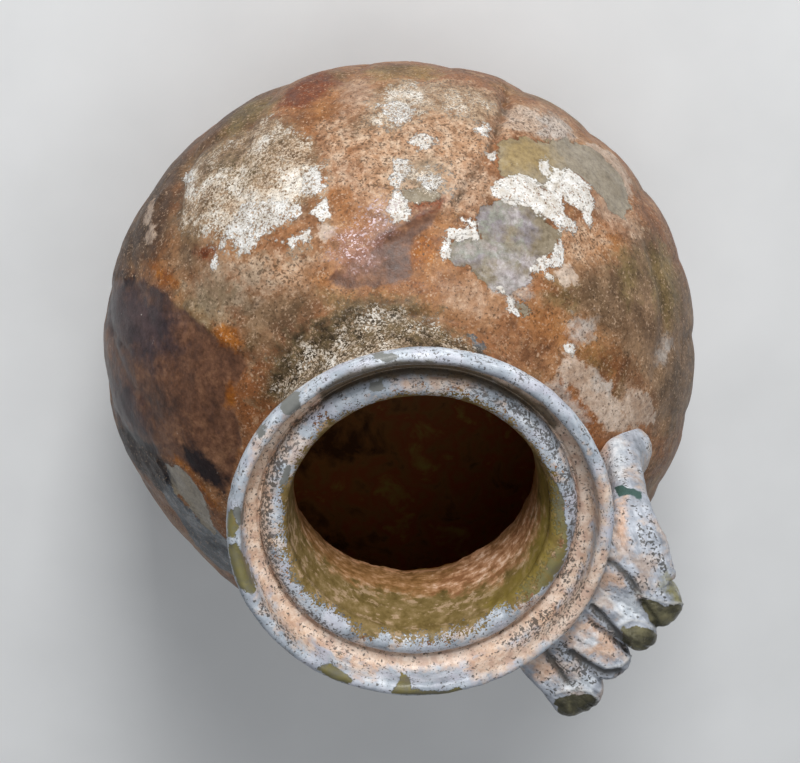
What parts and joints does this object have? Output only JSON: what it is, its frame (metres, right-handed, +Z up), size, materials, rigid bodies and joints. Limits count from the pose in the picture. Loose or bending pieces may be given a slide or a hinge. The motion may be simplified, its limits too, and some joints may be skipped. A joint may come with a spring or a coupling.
{
  "type": "ancient glass ewer",
  "caption": "Globular free-blown glass ewer with a short neck, a stepped ring mouth and an applied strap handle folded into a thumb rest against the rim.",
  "frame": {"origin": "on the vessel's axis, in the middle of the flat standing face", "axes": "+Z up along the vessel's axis towards the mouth, +X towards the handle's stem"},
  "size_m": [0.1536, 0.1507, 0.168],
  "materials": {
    "vessel_glass": "buried glass, opaque tan and brown weathering crust with white patches and bare olive glass",
    "handle_glass": "buried glass, chalky white crust with peach earth, olive glass at the worn tips"
  },
  "bodies": {
    "root": {"vessel": "vessel_glass", "handle": "handle_glass"}
  },
  "joints": []
}
